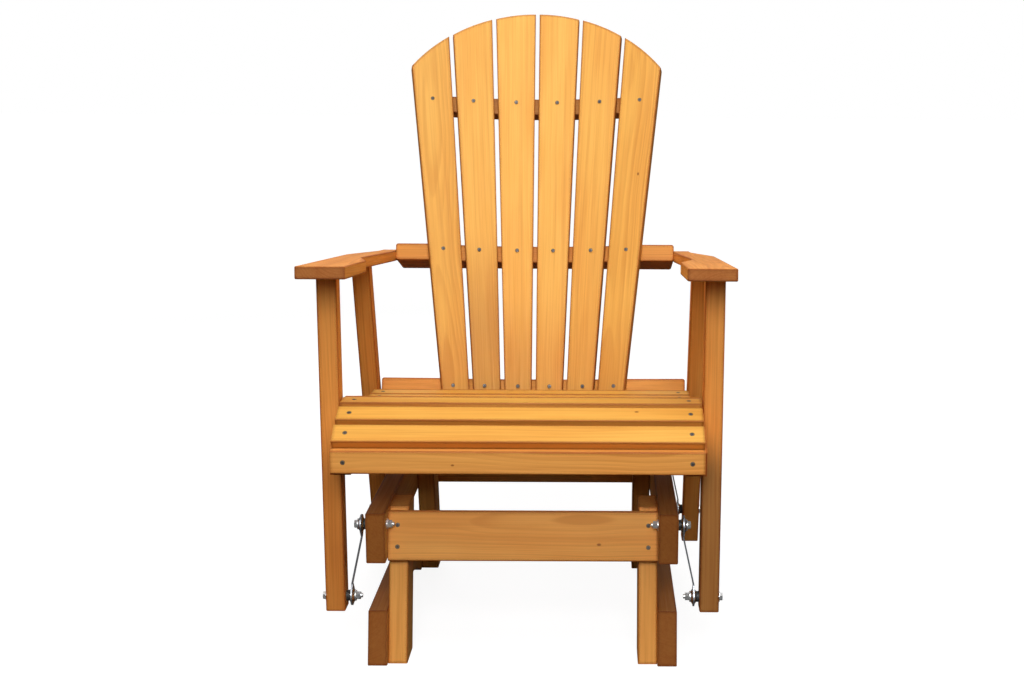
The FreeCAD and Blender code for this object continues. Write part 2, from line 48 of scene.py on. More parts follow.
# %% [markdown]
# ## The board's own axes
# Grain runs along a board, and on this chair the boards run in many directions: the back slats fan out,
# the rear posts lean and the arms slope. A texture space could be drawn for each by hand, but the board
# shows its own axes: its points spread most along its length, and its broadest face is square to its
# thickness. Only the arms, whose paddle is lopsided, are given their length.

# %% Axes of each board
ARM_SLOPE = math.radians(5)
GIVEN_LENGTH = {
    "left_arm": Vector((0, math.cos(ARM_SLOPE), -math.sin(ARM_SLOPE))),
    "right_arm": Vector((0, math.cos(ARM_SLOPE), -math.sin(ARM_SLOPE))),
}
SQUARE_TO_LENGTH = 0.2
SAME_FACE = 0.999


def rows_of(items, name, width):
    """One value of every mesh item, such as a corner's place or a face's normal, as rows."""
    flat = np.empty(len(items) * width, dtype=np.float32)
    items.foreach_get(name, flat)
    return flat.reshape(-1, width).astype(float)


def board_points(name):
    return rows_of(nodes[name].data.vertices, "co", 3)


def forward(axis):
    """The same line, pointing to the positive side of the world axis it is closest to."""
    largest = max(range(3), key=lambda i: abs(axis[i]))
    return axis if axis[largest] > 0 else -axis


def broad_face(name, length):
    """Direction across the thickness: the normal, square to the length, that covers the most area."""
    faces = nodes[name].data.polygons
    normals = rows_of(faces, "normal", 3)
    areas = rows_of(faces, "area", 1)[:, 0]
    cover = np.where(np.abs(normals @ np.array(length)) < SQUARE_TO_LENGTH, areas, 0.0)

    def shared_area(i):
        return cover[np.abs(normals @ normals[i]) > SAME_FACE].sum() * (cover[i] > 0)

    normal = Vector(normals[max(range(len(faces)), key=shared_area)])
    return forward((normal - normal.dot(length) * length).normalized())


def board_axes(name):
    """Middle of a board and its length, width and thickness directions, as rows of a matrix."""
    points = board_points(name)
    middle = (points.min(axis=0) + points.max(axis=0)) / 2
    rows = np.linalg.svd(points - points.mean(axis=0), full_matrices=False)[2]
    length = forward(GIVEN_LENGTH.get(name, Vector(rows[0])))
    thickness = broad_face(name, length)
    return Vector(middle), Matrix((length, thickness.cross(length), thickness))


timber_slots = ("base_timber", "frame_timber", "slat_timber")
slot_of = {item["node"]: item["material_slot"] for item in frame["record"]["subparts"]}
boards = sorted(name for name in nodes if slot_of[name] in timber_slots)
axes = {name: board_axes(name) for name in boards}
print("boards with their own grain:", len(boards))

# %% [markdown]
# ## Stained timber
# The chair is sawn from clear softwood and wiped with a honey stain. Most of its faces cut the tree's
# rings nearly square, so they show fine straight lines, and an end shows the rings themselves and drinks
# more stain. One could paint stripes on each face, but then the faces wouldn't agree at the edges. Here
# each board is a block out of its own log: the pattern is the distance to the log's heart, a line beside
# the board, so faces and ends belong together from every side.

# %% Small helpers for node trees
def add(tree, kind, settings=None, **inputs):
    """A node with its settings, and each input linked or set."""
    made = tree.nodes.new(kind)
    for name, value in (settings or {}).items():
        setattr(made, name, value)
    for name, value in inputs.items():
        feed(tree, made.inputs[name.replace("_", " ")], value)
    return made


def feed(tree, socket, value):
    if isinstance(value, bpy.types.NodeSocket):
        tree.links.new(value, socket)
    else:
        socket.default_value = value


def figure(tree, operation, *values):
    """Result of a Math node."""
    made = tree.nodes.new("ShaderNodeMath")
    made.operation = operation
    for socket, value in zip(made.inputs, values):
        feed(tree, socket, value)
    return made.outputs[0]


def reach(tree, operation, *values):
    """Vector result of a Vector Math node, or its number where it gives one."""
    made = tree.nodes.new("ShaderNodeVectorMath")
    made.operation = operation
    for socket, value in zip(made.inputs, values):
        feed(tree, socket, value)
    gives_number = operation in ("LENGTH", "DOT_PRODUCT", "DISTANCE")
    return made.outputs["Value" if gives_number else "Vector"]


def blend_colours(tree, share, low, high, mode="MIX"):
    made = tree.nodes.new("ShaderNodeMix")
    made.data_type = "RGBA"
    made.blend_type = mode
    feed(tree, made.inputs["Factor"], share)
    feed(tree, made.inputs[6], low)
    feed(tree, made.inputs[7], high)
    return made.outputs[2]


def ease_between(tree, value, low, high, to_low=0.0, to_high=1.0):
    made = add(tree, "ShaderNodeMapRange", {"interpolation_type": "SMOOTHSTEP"}, Value=value)
    for name, number in (("From Min", low), ("From Max", high), ("To Min", to_low), ("To Max", to_high)):
        made.inputs[name].default_value = number
    return made.outputs["Result"]


def stretched_noise(tree, place, scale, detail=2.0, rough=0.5):
    """Noise drawn out by a different scale in each direction."""
    space = reach(tree, "MULTIPLY", place, scale)
    noise = add(tree, "ShaderNodeTexNoise", Vector=space, Scale=1.0, Detail=detail, Roughness=rough)
    return noise.outputs["Fac"]


def fresh_tree(name):
    """New material with an empty node tree."""
    material = bpy.data.materials.new(name)
    material.use_nodes = True
    material.node_tree.nodes.clear()
    return material, material.node_tree


print("node helpers ready")

# %% [markdown]
# ## The log inside a board
# A board's place in its log decides its figure. Sawn with the heart beside it, a board shows straight
# lines, and sawn with the heart below its face, it shows the pointed arches of flat-sawn timber. The
# place differs from board to board, by numbers drawn from a fixed seed. The rings are uneven in width and
# in darkness and wander along the trunk, as in a tree that grew with the wind. The tone deepens through a
# ring and ends in a sharp line.

# %% Rings of a log
RING_PITCH = 0.0062
FLAT_PITCH = 0.0036
FLAT_SAWN = ("front_stretcher", "seat_apron", "back_slat_1", "back_slat_6", "seat_slat_03",
             "rear_stretcher", "left_arm", "right_arm", "arm_back_rail")
FLAT_ANGLE, FLAT_HEART = (5.0, 14.0), (0.05, 0.07)
STRAIGHT_ANGLE, STRAIGHT_HEART = (38.0, 80.0), (0.07, 0.15)
TRUNK_LENGTH = 9.0
WANDER_SCALE, WANDER_REACH = (1.7, 4.0, 4.0), (0.0, 0.034, 0.034)
ACROSS_TRUNK = (0.0, 1.0, 1.0)
UNEVEN_SCALE, UNEVEN_RINGS = 70.0, 2.5
SEASON_SCALE, POOR_SEASON = 0.45, 0.25
RING_LINE = 0.9
ONE_WAY = {"noise_dimensions": "1D"}
draw = np.random.default_rng(41)


def draw_log(flat_sawn):
    """Where the heart lies from the board's middle, and how far along the trunk the board was sawn."""
    angle = math.radians(draw.uniform(*(FLAT_ANGLE if flat_sawn else STRAIGHT_ANGLE)))
    distance = draw.uniform(*(FLAT_HEART if flat_sawn else STRAIGHT_HEART))
    side, face = draw.choice((-1, 1), size=2)
    along = draw.uniform(0.0, TRUNK_LENGTH)
    return Vector((along, side * distance * math.sin(angle), face * distance * math.cos(angle)))


def log_space(tree, place, name, heart):
    """Coordinates along the trunk and away from its heart, for a board's own axes."""
    middle, turn = axes[name]
    shift = heart - turn @ middle
    turned = add(tree, "ShaderNodeMapping", Vector=place, Rotation=turn.to_euler(), Location=shift)
    return turned.outputs["Vector"]


def late_wood(tree, log, pitch):
    """How dark a point is in its growth ring, from 0 in early wood to 1 at the end of a strong ring."""
    wander = add(tree, "ShaderNodeTexNoise", Vector=reach(tree, "MULTIPLY", log, WANDER_SCALE),
                 Scale=1.0, Detail=2.5).outputs["Color"]
    bent = reach(tree, "MULTIPLY_ADD", wander, WANDER_REACH, log)
    radius = reach(tree, "LENGTH", reach(tree, "MULTIPLY", bent, ACROSS_TRUNK))
    uneven = add(tree, "ShaderNodeTexNoise", ONE_WAY, W=radius, Scale=UNEVEN_SCALE, Detail=2.0)
    drift = figure(tree, "MULTIPLY", uneven.outputs["Fac"], UNEVEN_RINGS)
    count = figure(tree, "MULTIPLY_ADD", radius, 1 / pitch, drift)
    ring = figure(tree, "FRACT", count)
    rising = ease_between(tree, ring, 0.1, RING_LINE)
    falling = ease_between(tree, ring, RING_LINE, 1.0, 1.0, 0.0)
    season = add(tree, "ShaderNodeTexNoise", ONE_WAY, W=count, Scale=SEASON_SCALE, Detail=1.0)
    strength = ease_between(tree, season.outputs["Fac"], 0.35, 0.65, POOR_SEASON, 1.0)
    return figure(tree, "MULTIPLY", figure(tree, "MULTIPLY", rising, falling), strength)


print("ring pitch", RING_PITCH * 1000, "mm, on flat-sawn boards", FLAT_PITCH * 1000, "mm")

# %% [markdown]
# ## One board's finish
# The finish is built up as on the bench: growth rings first, then fine fibres, then broad patches where
# the stain took unevenly, a darker part towards one end of some boards, and a few pin knots. The darker
# part is partly stain and heartwood and partly painted shade: the foot of the back's slats and the lower
# part of the front posts are darkened for the shade they lie in. Each could be a picture, but a picture
# would stretch on boards that lie at a slant. Noise drawn out along the log keeps its scale.

# %% Colour along the grain
FLAT_FIGURE = (0.45, 0.85)
STRAIGHT_FIGURE = (0.22, 0.50)
STREAK_SHARE, FIBRE_SHARE = 0.55, 0.34
WARM_TONE = (0.95, 0.85, 0.75, 1.0)
KNOT_TONE = (0.30, 0.15, 0.08, 1.0)
STREAK_SWAY = 0.12
# Tone of the darker part, and how far along the board it is full and gone; at the foot of the back's
# slats and low on the front posts it is partly painted shade
DARKER_WOOD_AND_SHADE = {f"back_slat_{number}": ((0.82, 0.73, 0.68), -0.36, -0.16) for number in range(1, 7)}
DARKER_WOOD_AND_SHADE.update({
    "back_slat_2": ((0.69, 0.62, 0.58), -0.30, -0.02),
    "back_slat_3": ((0.72, 0.63, 0.56), -0.36, -0.16),
    "left_front_post": ((0.86, 0.78, 0.76), -0.10, 0.06),
    "right_front_post": ((0.50, 0.54, 0.72), -0.06, 0.04),
})


def knot_cover(tree, log, heart, knot):
    """Mask of a pin knot through the board; knot is its place along and across, and its radius."""
    along, across, radius = knot
    away = reach(tree, "SUBTRACT", log, (heart.x + along, heart.y + across, 0.0))
    distance = reach(tree, "LENGTH", reach(tree, "MULTIPLY", away, (0.6, 1.0, 0.0)))
    return ease_between(tree, distance, 0.4 * radius, 1.3 * radius, 0.9, 0.0)


def darker_wood_and_shade_cover(tree, log, heart, streak, full, none):
    """Mask of the darker part, partly heartwood and stain and partly painted shade, whose border wavers with
    the streaks.
    """
    along = add(tree, "ShaderNodeSeparateXYZ", Vector=log).outputs["X"]
    wavering = figure(tree, "MULTIPLY_ADD", streak, STREAK_SWAY, along)
    border = heart.x + STREAK_SWAY / 2
    return ease_between(tree, wavering, border + full, border + none, 1.0, 0.0)


def grain_colour(tree, name, log, heart, tone, late, fibre):
    """Colour of a board's rings, streaks, fibres and uneven stain; tone is its light and dark wood."""
    light, dark = [(*colour, 1.0) for colour in tone]
    streak = stretched_noise(tree, log, (2.4, 150.0, 150.0), 4.0, 0.6)
    patch = stretched_noise(tree, log, (2.6, 16.0, 16.0), 3.0)
    depth = FLAT_FIGURE if name in FLAT_SAWN else STRAIGHT_FIGURE
    share = figure(tree, "MULTIPLY", late, ease_between(tree, patch, 0.25, 0.75, *depth))
    colour = blend_colours(tree, share, light, dark)
    colour = blend_colours(tree, ease_between(tree, streak, 0.40, 0.75, 0.0, STREAK_SHARE), colour, dark)
    colour = blend_colours(tree, ease_between(tree, fibre, 0.35, 0.75, 0.0, FIBRE_SHARE), colour, dark)
    warm = ease_between(tree, patch, 0.35, 0.7, 0.0, 0.8)
    colour = blend_colours(tree, warm, colour, WARM_TONE, "MULTIPLY")
    # darker towards one end: partly heartwood and stain, partly painted shade
    if name in DARKER_WOOD_AND_SHADE:
        darker_tone, full, none = DARKER_WOOD_AND_SHADE[name]
        cover = darker_wood_and_shade_cover(tree, log, heart, streak, full, none)
        colour = blend_colours(tree, cover, colour, (*darker_tone, 1.0), "MULTIPLY")
    return colour


print("heartwood on", len(DARKER_WOOD_AND_SHADE), "boards")

# %% [markdown]
# ## Ends, sides and edges
# Sawn ends drink more stain than planed faces. The narrow sides of the slats and of the base's rails and
# runners are darker too, partly stain and partly painted shade, which on the rails' and runners' tops
# stands in for the seat's shadow. Along the edges a thin red brown line is partly gathered stain and partly
# painted shade of the rounding. Lines could be drawn or the faces painted one by one, but the surface
# itself tells where they are: on the rounding it looks neither along the width nor along the thickness,
# and close to it the normal of a softened edge differs from the surface's own.

# %% Timber finish
# Line along the edges and the strip beside them: gathered stain and painted shade of the rounding
EDGE_STAIN_AND_SHADE = (0.52, 0.34, 0.22, 1.0)
EDGE_REACH = 0.009
# Narrow sides darkened, partly stain and partly painted shade; on the base's rails and runners the tops stand
# in shadow
SIDE_STAIN_AND_SHADE = {"slat": (0.74, 0.62, 0.60), "base_rail": (0.58, 0.46, 0.40), "floor_runner": (0.66, 0.54, 0.48)}
GRAIN_RELIEF, GRAIN_DEPTH = 0.14, 0.0005
SATIN, DULLER_END = (0.44, 0.58), 0.25
TIMBER_SPECULAR = 0.22


def edge_cover(tree, widthwise, facewise):
    """Mask of a board's rounded edges and of the strip beside them."""
    rounding = ease_between(tree, figure(tree, "MULTIPLY", widthwise, facewise), 0.05, 0.30, 0.0, 0.9)
    softened = add(tree, "ShaderNodeBevel", {"samples": 4}, Radius=EDGE_REACH).outputs["Normal"]
    surface = add(tree, "ShaderNodeNewGeometry").outputs["Normal"]
    beside = ease_between(tree, reach(tree, "DOT_PRODUCT", softened, surface), 0.89, 0.988, 1.0, 0.0)
    return figure(tree, "MAXIMUM", rounding, beside)


def timber_finish(name, tone, end_tone, knots=()):
    """Stained softwood for one board."""
    heart = draw_log(name in FLAT_SAWN)
    material, tree = fresh_tree("timber_" + name)
    coordinates = add(tree, "ShaderNodeTexCoord")
    log = log_space(tree, coordinates.outputs["Object"], name, heart)
    late = late_wood(tree, log, FLAT_PITCH if name in FLAT_SAWN else RING_PITCH)
    fibre = stretched_noise(tree, log, (7.0, 520.0, 520.0), 3.0, 0.65)
    colour = grain_colour(tree, name, log, heart, tone, late, fibre)
    for knot in knots:
        colour = blend_colours(tree, knot_cover(tree, log, heart, knot), colour, KNOT_TONE, "MULTIPLY")

    facing = coordinates.outputs["Normal"]
    lengthwise, widthwise, facewise = [
        figure(tree, "ABSOLUTE", reach(tree, "DOT_PRODUCT", facing, axis)) for axis in axes[name][1]
    ]
    is_end = ease_between(tree, lengthwise, 0.5, 0.85)
    colour = blend_colours(tree, is_end, colour, (*end_tone, 1.0), "MULTIPLY")
    # narrow sides: stain and painted shade
    for word, side_darkening in SIDE_STAIN_AND_SHADE.items():
        if word in name:
            is_side = ease_between(tree, widthwise, 0.7, 0.95)
            colour = blend_colours(tree, is_side, colour, (*side_darkening, 1.0), "MULTIPLY")
    # edges: gathered stain and painted shade
    colour = blend_colours(tree, edge_cover(tree, widthwise, facewise), colour, EDGE_STAIN_AND_SHADE, "MULTIPLY")

    relief = figure(tree, "MULTIPLY_ADD", late, 0.5, fibre)
    bump = add(tree, "ShaderNodeBump", Strength=GRAIN_RELIEF, Distance=GRAIN_DEPTH, Height=relief)
    gloss = ease_between(tree, fibre, 0.3, 0.7, *SATIN)
    gloss = figure(tree, "MULTIPLY_ADD", is_end, DULLER_END, gloss)
    shader = add(tree, "ShaderNodeBsdfPrincipled", Base_Color=colour, Roughness=gloss,
                 Normal=bump.outputs["Normal"])
    shader.inputs["Specular IOR Level"].default_value = TIMBER_SPECULAR
    add(tree, "ShaderNodeOutputMaterial", Surface=shader.outputs["BSDF"])
    return material


def dress(name, material):
    """Give a solid one finish all over."""
    slots = nodes[name].data.materials
    slots.clear()
    slots.append(material)


print("timber finish ready")

# %% [markdown]
# ## Tones of the boards
# The slats that face the light are a pale honey, and the posts, arms and base a little redder. One stain
# for all would be simpler, but no two boards are quite alike, so each gets its own shade: the back's
# slats, the rails behind them and the dark rails and runners of the base as the photograph shows them,
# most others by chance. The batten behind the back's slats, the rear legs and the left rear post are made
# darker as painted shade, for the shadow they stand in. Sawn ends are darker still.

# %% Dress the boards
TONES = {
    "slat_timber": ((0.92, 0.480, 0.090), (0.68, 0.285, 0.042)),
    "frame_timber": ((0.94, 0.395, 0.082), (0.66, 0.215, 0.036)),
    "base_timber": ((0.97, 0.450, 0.102), (0.74, 0.290, 0.056)),
    "apron_timber": ((0.92, 0.425, 0.098), (0.66, 0.240, 0.044)),
    "rail_timber": ((0.80, 0.330, 0.054), (0.58, 0.190, 0.024)),
}
STAINS = {"seat_apron": "apron_timber", "arm_back_rail": "rail_timber",
          "lower_back_rail": "rail_timber", "top_back_batten": "rail_timber"}
# Shade of each board; for the batten, the rear legs and the left rear post it is painted shadow
SHADES_AND_PAINTED_SHADOW = {"back_slat_1": 0.93, "back_slat_2": 1.0, "back_slat_3": 1.05, "back_slat_4": 1.01,
          "back_slat_5": 0.98, "back_slat_6": 0.95, "top_back_batten": 0.60, "arm_back_rail": 0.92,
          "right_front_post": 1.05, "left_rear_post": 0.88, "left_base_rail": 0.66,
          "right_base_rail": 0.57, "left_floor_runner": 0.60, "right_floor_runner": 0.56,
          "rear_left_leg": 0.85, "rear_right_leg": 0.85}
CHANCE_SHADE = (0.94, 1.05)
SEAT_SHADE = 0.95
DARK_END = (0.62, 0.46, 0.36)
ARM_END = (0.42, 0.36, 0.40)
LEG_END = (0.66, 0.60, 0.58)
# A knot's place along and across its board, and its radius
PIN_KNOTS = {"seat_apron": [(-0.112, 0.004, 0.0018)], "back_slat_6": [(0.10, 0.012, 0.0022)],
             "front_stretcher": [(0.140, 0.015, 0.0026)], "seat_slat_02": [(0.205, 0.006, 0.0024)]}
for board in boards:
    shade = SHADES_AND_PAINTED_SHADOW.get(board, draw.uniform(*CHANCE_SHADE))
    if board.startswith("seat_slat"):
        shade *= SEAT_SHADE
    stain = STAINS.get(board, slot_of[board])
    tone = [tuple(channel * shade for channel in colour) for colour in TONES[stain]]
    end_tone = ARM_END if "arm" in board else LEG_END if board.endswith("leg") else DARK_END
    dress(board, timber_finish(board, tone, end_tone, PIN_KNOTS.get(board, ())))
print("dressed", len(boards), "boards in stained timber")

# %% [markdown]
# ## Steel and nylon
# The links are flat steel bar with a dull grey plate, their eyes hold bright pressed bearing cups, the
# bolts, nuts and washers are zinc plate and the spacers black nylon. One even grey would look like
# plastic, so the plate gets a cloudy, faintly yellow bloom and a fine grit, and the bar is darker along
# its sheared edges.

# %% Metal finishes
SHEARED_EDGE = 0.0015
GRIT_RELIEF, GRIT_DEPTH = 0.12, 0.0002


def metal_finish(name, colour, bloom, metallic, rough, edge_colour=None):
    """Cloudy metal or moulded surface; edge_colour is what shows along its edges."""
    material, tree = fresh_tree(name)
    place = add(tree, "ShaderNodeTexCoord").outputs["Object"]
    cloud = stretched_noise(tree, place, (90.0, 90.0, 90.0), 4.0, 0.6)
    grit = stretched_noise(tree, place, (900.0, 900.0, 900.0), 2.0)
    paint = blend_colours(tree, ease_between(tree, cloud, 0.4, 0.65), (*colour, 1.0), (*bloom, 1.0))
    if edge_colour:
        rounded = add(tree, "ShaderNodeBevel", {"samples": 4}, Radius=SHEARED_EDGE).outputs["Normal"]
        flat = add(tree, "ShaderNodeNewGeometry").outputs["Normal"]
        rubbed = ease_between(tree, reach(tree, "DOT_PRODUCT", rounded, flat), 0.75, 0.97, 0.7, 0.0)
        paint = blend_colours(tree, figure(tree, "MULTIPLY", rubbed, cloud), paint, (*edge_colour, 1.0))
    gloss = ease_between(tree, cloud, 0.3, 0.7, rough - 0.07, rough + 0.1)
    bump = add(tree, "ShaderNodeBump", Strength=GRIT_RELIEF, Distance=GRIT_DEPTH, Height=grit)
    shader = add(tree, "ShaderNodeBsdfPrincipled", Base_Color=paint, Roughness=gloss,
                 Normal=bump.outputs["Normal"])
    shader.inputs["Metallic"].default_value = metallic
    add(tree, "ShaderNodeOutputMaterial", Surface=shader.outputs["BSDF"])
    return material


zinc = metal_finish("zinc_plate", (0.82, 0.84, 0.86), (0.72, 0.71, 0.66), 0.75, 0.30)
cup_steel = metal_finish("cup_steel", (0.74, 0.75, 0.76), (0.62, 0.62, 0.60), 1.0, 0.22)
link_plate = metal_finish("link_plate", (0.48, 0.51, 0.55), (0.38, 0.40, 0.43), 0.8, 0.36,
                          edge_colour=(0.10, 0.10, 0.105))
nylon = metal_finish("spacer_nylon", (0.030, 0.031, 0.030), (0.045, 0.046, 0.044), 0.0, 0.5)
FITTINGS = {"zinc_hardware": zinc, "link_steel": link_plate, "bearing_steel": cup_steel,
            "spacer_nylon": nylon}
for name in nodes:
    if slot_of[name] in FITTINGS:
        dress(name, FITTINGS[slot_of[name]])
print("dressed", len(nodes) - len(boards), "fittings in metal and nylon")

# %% [markdown]
# ## A wood screw's head
# Every slat is held by countersunk screws with a cross recess, driven level with the face, and round each
# lies a thin dark ring: timber the bit has bruised, and a painted shadow of the countersink's gap. A disc
# with a drawn cross would do from far away. Here the head is turned from a cylinder: its underside is drawn
# in to the countersink's cone, its rim is rounded by a bevel, and a tapered cross is cut out of it with a
# boolean. The cutter lends its own near-black finish to the faces it cuts, a painted shade that stands in
# for the shade of a deeper recess.

# %% Model one screw
HEAD_RADIUS = 0.0035
HEAD_DEPTH = 0.0026
HEAD_PROUD = 0.0004
RECESS_HALF = 0.0021
RECESS_WIDTH = 0.0011
RECESS_FLOOR = 0.0001
CUTTER_HEIGHT = 0.0020
RIM_BEVEL = 0.0003
RING_GAP, RING_RADIUS = 0.0003, 0.0004
ROUND_STEPS = 24


def leave_all():
    """Deselect everything, so that an operator acts on the new piece alone."""
    if bpy.context.mode != "OBJECT":
        bpy.ops.object.mode_set(mode="OBJECT")
    bpy.ops.object.select_all(action="DESELECT")


def pick_faces(piece, test):
    """Select the faces whose middle and normal pass a test, ready for edit mode."""
    bpy.ops.object.mode_set(mode="EDIT")
    bpy.ops.mesh.select_mode(type="FACE")
    bpy.ops.mesh.select_all(action="DESELECT")
    bpy.ops.object.mode_set(mode="OBJECT")
    for face in piece.data.polygons:
        face.select = test(face.center, face.normal)
    bpy.ops.object.mode_set(mode="EDIT")


def apply_modifier(piece, kind, **settings):
    added = piece.modifiers.new(kind.lower(), kind)
    for name, value in settings.items():
        setattr(added, name, value)
    bpy.context.view_layer.objects.active = piece
    bpy.ops.object.modifier_apply(modifier=added.name)


def screw_head():
    """Countersunk head, axis along Z, its rim level with the timber at Z = 0."""
    leave_all()
    bpy.ops.mesh.primitive_cylinder_add(vertices=ROUND_STEPS, radius=HEAD_RADIUS, depth=HEAD_DEPTH,
                                        location=(0, 0, HEAD_PROUD - HEAD_DEPTH / 2))
    head = bpy.context.object
    bpy.ops.object.transform_apply(location=True, rotation=True, scale=True)
    pick_faces(head, lambda centre, normal: normal.z < -0.9)
    bpy.ops.transform.resize(value=(0.5, 0.5, 1.0))
    pick_faces(head, lambda centre, normal: normal.z > 0.9)
    bpy.ops.mesh.bevel(offset=RIM_BEVEL, segments=2, affect="EDGES")
    bpy.ops.object.mode_set(mode="OBJECT")
    return head


def recess_cutter():
    """Two crossed bars that taper inwards, as the driver's tip does."""
    leave_all()
    bpy.ops.mesh.primitive_cube_add(size=1.0, location=(0, 0, RECESS_FLOOR + CUTTER_HEIGHT / 2))
    cutter = bpy.context.object
    cutter.scale = (2 * RECESS_HALF, RECESS_WIDTH, CUTTER_HEIGHT)
    bpy.ops.object.transform_apply(location=True, rotation=True, scale=True)
    pick_faces(cutter, lambda centre, normal: normal.z < -0.9)
    bpy.ops.transform.resize(value=(0.85, 0.7, 1.0))
    bpy.ops.mesh.select_all(action="SELECT")
    bpy.ops.mesh.duplicate()
    bpy.ops.transform.rotate(value=math.pi / 2, orient_axis="Z", center_override=(0, 0, 0))
    bpy.ops.object.mode_set(mode="OBJECT")
    return cutter


def bruised_shadow_ring():
    """Thin raised ring round the head: crushed timber and painted shadow of the countersink's gap."""
    leave_all()
    bpy.ops.mesh.primitive_torus_add(major_radius=HEAD_RADIUS + RING_GAP, minor_radius=RING_RADIUS,
                                     major_segments=ROUND_STEPS, minor_segments=6)
    ring = bpy.context.object
    bpy.ops.object.mode_set(mode="EDIT")
    bpy.ops.mesh.select_all(action="SELECT")
    bpy.ops.transform.resize(value=(1.0, 1.0, 0.6))
    bpy.ops.object.mode_set(mode="OBJECT")
    return ring


# Ring round each head: bruised timber and painted shadow of the countersink's gap
bruise_and_gap_shade = metal_finish("bruise_and_gap_shade_timber", (0.10, 0.045, 0.018), (0.15, 0.07, 0.03), 0.0, 0.7)
screw_steel = metal_finish("screw_steel", (0.15, 0.14, 0.125), (0.09, 0.08, 0.07), 0.7, 0.5)
# Near-black floor of the shallow cross recess: painted shade of a deeper recess
recess_shade = metal_finish("recess_shade", (0.020, 0.016, 0.012), (0.032, 0.024, 0.017), 0.0, 0.8)
screw = screw_head()
screw.data.materials.append(screw_steel)
cutter = recess_cutter()
cutter.data.materials.append(recess_shade)
apply_modifier(screw, "BOOLEAN", operation="DIFFERENCE", object=cutter, use_self=True, solver="EXACT",
               material_mode="TRANSFER")
bpy.data.objects.remove(cutter)
ring = bruised_shadow_ring()
ring.data.materials.append(bruise_and_gap_shade)
leave_all()
ring.select_set(True)
screw.select_set(True)
bpy.context.view_layer.objects.active = screw
bpy.ops.object.join()
print("one screw:", len(screw.data.polygons), "faces")

# %% [markdown]
# ## Where the screws go
# Each seat slat has one screw over each stringer, each back slat one into each of the three rails, and
# each stretcher two into each leg. The other joints are screwed where the photograph can't see them: the
# posts into the stringers, and the rails and runners, from outside, into the legs. Every spot could be
# typed in, but here only its place along the face is, and the height of the face is measured from the
# board itself, so that the screw stays on the timber from any side.

# %% Screw spots
screw_sets = {}


def face_level(board, normal):
    """How far out a board reaches along a normal."""
    return (board_points(board) @ np.array(normal)).max()


def drive(group, board, guess, towards):
    """Put a screw on the face of a board that looks most nearly towards a direction, nearest to a guess."""
    towards = Vector(towards)
    normal = max((sign * axis for axis in axes[board][1] for sign in (-1, 1)), key=towards.dot)
    guess = Vector(guess)
    lift = face_level(board, normal) - guess.dot(normal)
    screw_sets.setdefault(group, []).append((guess + normal * lift, normal))


UP, FRONT, REAR = (0, 0, 1), (0, -1, 0), (0, 1, 0)
STRINGER_HALF = 0.300
LEG_HALF = 0.231
STRETCHER_ROWS = (-0.020, 0.020)
for side in (-1, 1):
    for board in boards:
        middle = axes[board][0]
        if board.startswith("seat_slat"):
            drive("seat_screws", board, middle + Vector((side * STRINGER_HALF, 0, 0)), UP)
        elif board == "seat_apron":
            drive("seat_screws", board, middle + Vector((side * STRINGER_HALF, 0, 0)), FRONT)
        elif board.endswith("stretcher"):
            for rise in STRETCHER_ROWS:
                spot = middle + Vector((side * LEG_HALF, 0, 0)) + axes[board][1][1] * rise
                drive("base_screws", board, spot, FRONT if board.startswith("front") else REAR)
print({group: len(spots) for group, spots in screw_sets.items()}, "screws in slats and stretchers")

# %% [markdown]
# ## Screws of the back
# The back slats fan out and are turned to the hollow of the back, so their screws are found from the fan:
# a row is level with its rail, measured up the lean of the back, and each screw is on its slat's middle
# line.

# %% Spots on the back
BACK_LEAN = math.radians(18)
BACK_FOOT = Vector((0, 0.1322, 0.418))
UP_BACK = Vector((0, math.sin(BACK_LEAN), math.cos(BACK_LEAN)))
FAN_PITCH, FAN_SPREAD = 0.0662, 0.0365
SCREW_ROWS = (0.011, 0.304, 0.632)
for number in range(1, 7):
    for level in SCREW_ROWS:
        across = (number - 3.5) * (FAN_PITCH + FAN_SPREAD * level)
        spot = BACK_FOOT + UP_BACK * level + Vector((across, 0, 0))
        drive("back_screws", f"back_slat_{number}", spot, FRONT)
print(len(screw_sets["back_screws"]), "screws in the back, in", len(SCREW_ROWS), "rows")

# %% [markdown]
# ## Screws of the frame
# The frame's joints lie on the posts and legs, some of which lean. The screws could be placed from
# drawings, but it is enough to give their heights: their places follow from the lean, and the sides are
# mirrored.

# %% Spots on the frame
POST_HALF = 0.362
FRONT_POST_Y = -0.2818
REAR_PIVOT_Y, REAR_PIVOT_Z, REAR_LEAN = 0.2502, 0.122, 0.3057
STRINGER_SCREWS = (0.408, 0.440)
RUNNER_SCREWS = (0.035, 0.075)
RAIL_SCREWS = (0.210, 0.235)
for side, name in ((-1, "left"), (1, "right")):
    outward = (side, 0, 0)
    for height in STRINGER_SCREWS:
        rear_y = REAR_PIVOT_Y - (height - REAR_PIVOT_Z) * REAR_LEAN
        drive("seat_screws", f"{name}_front_post", (side * POST_HALF, FRONT_POST_Y, height), outward)
        drive("seat_screws", f"{name}_rear_post", (side * POST_HALF, rear_y, height), outward)
    for end in ("front", "rear"):
        middle, turn = axes[f"{end}_{name}_leg"]
        for board, heights in (("floor_runner", RUNNER_SCREWS), ("base_rail", RAIL_SCREWS)):
            for height in heights:
                spot = middle + turn[0] * ((height - middle.z) / turn[0].z)
                drive("base_screws", f"{name}_{board}", spot, outward)
print({group: len(spots) for group, spots in screw_sets.items()}, "screws in all")

# %% [markdown]
# ## Drive the screws
# The modelled screw is copied to every spot, each copy with its own mesh and its cross turned further
# than the last, as screws come to rest at any angle. Each could be a piece of its own, but the copies of
# one set are joined, so that a set is one piece that rides on the body it is driven into.

# %% Copy and join the screws
TURN_STEP = 2.4


